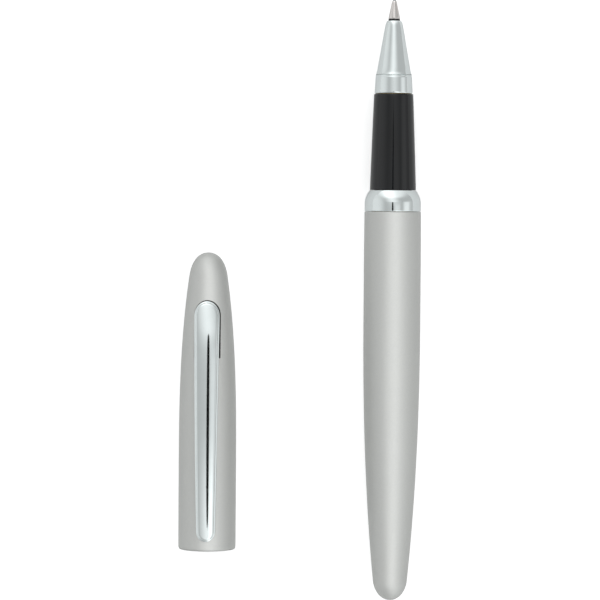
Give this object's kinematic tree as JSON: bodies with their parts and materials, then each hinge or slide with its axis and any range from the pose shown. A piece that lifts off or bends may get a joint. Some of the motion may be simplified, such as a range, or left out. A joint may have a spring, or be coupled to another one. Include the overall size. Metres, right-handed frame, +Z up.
{
  "type": "rollerball pen",
  "caption": "Rollerball pen with a satin metal barrel, chromed nose and trim ring and a black grip, its pull-off cap with a sprung clip lying beside it.",
  "frame": {"origin": "on the surface that pen and cap lie on, under the middle of their common box", "axes": "+Y along the pen towards its nib, +X from the cap to the pen, +Z up, through the clip"},
  "size_m": [0.0472, 0.1178, 0.0127],
  "materials": {
    "lacquer": "satin pearl lacquer on metal",
    "chrome": "polished",
    "grip": "gloss",
    "black_plastic": "moulded",
    "grey_plastic": "moulded",
    "white_plastic": "moulded",
    "nickel_silver": "turned",
    "carbide": "polished",
    "brass": "turned",
    "steel": "bright spring steel",
    "fibre": "ink-soaked fibre",
    "seal": "moulded"
  },
  "bodies": {
    "barrel": {"barrel_shell": "lacquer", "barrel_bush": "brass", "spring_seat": "white_plastic"},
    "ring": {"trim_ring": "chrome"},
    "spring": {"refill_spring": "steel"},
    "section": {"section_core": "brass", "grip_sleeve": "grip", "nose_cone": "chrome"},
    "refill": {"refill_tube": "grey_plastic", "refill_neck": "black_plastic", "refill_tip": "nickel_silver", "ink_reservoir": "fibre", "ink_wick": "fibre", "refill_end_plug": "black_plastic"},
    "ball": {"tip_ball": "carbide"},
    "clutch": {"cap_clutch_ring": "steel"},
    "cap": {"cap_shell": "lacquer", "cap_liner": "white_plastic", "tip_seal": "seal", "clip_carrier": "black_plastic", "clip_pin": "steel", "clip_spring": "steel"},
    "clip": {"clip": "chrome"}
  },
  "joints": [
    {"name": "thread_advance", "type": "slide", "parent": "barrel", "child": "spring", "axis": [0, 1, 0], "range_m": [0, 0.003]},
    {"name": "section_draw", "type": "slide", "parent": "spring", "child": "ring", "axis": [0, 1, 0], "range_m": [0, 0.075]},
    {"name": "section_unscrew", "type": "hinge", "parent": "ring", "child": "section", "pos_m": [0.01803, 0, 0.00557], "axis": [0, 1, 0], "range_deg": [0, 1080]},
    {"name": "refill_float", "type": "slide", "parent": "section", "child": "refill", "axis": [0, -1, 0], "range_m": [0, 0.0012], "stiffness_N_per_m": 200, "springref_m": -0.004, "deforming": ["refill_spring"]},
    {"name": "ball_roll", "type": "hinge", "parent": "refill", "child": "ball", "pos_m": [0.01803, 0.0585, 0.00557], "axis": [1, 0, 0], "continuous": true},
    {"name": "cap_carry", "type": "slide", "parent": "barrel", "child": "clutch", "axis": [0.2366, 0.9716, -0.0004], "range_m": [0, 0.15217]},
    {"name": "cap_turn", "type": "hinge", "parent": "clutch", "child": "cap", "pos_m": [-0.01797, 0, 0.00563], "axis": [0, 1, 0], "range_deg": [-110, 110]},
    {"name": "clip_lift", "type": "hinge", "parent": "cap", "child": "clip", "pos_m": [-0.01797, -0.0063, 0.00783], "axis": [-1, 0, 0], "range_deg": [0, 4], "stiffness_Nm_per_rad": 1, "springref_deg": -3.44, "deforming": ["clip_spring"]}
  ],
  "couplings": [
    {"joint": "thread_advance", "follows": "section_unscrew", "m_per_rad": 0.00015915}
  ]
}
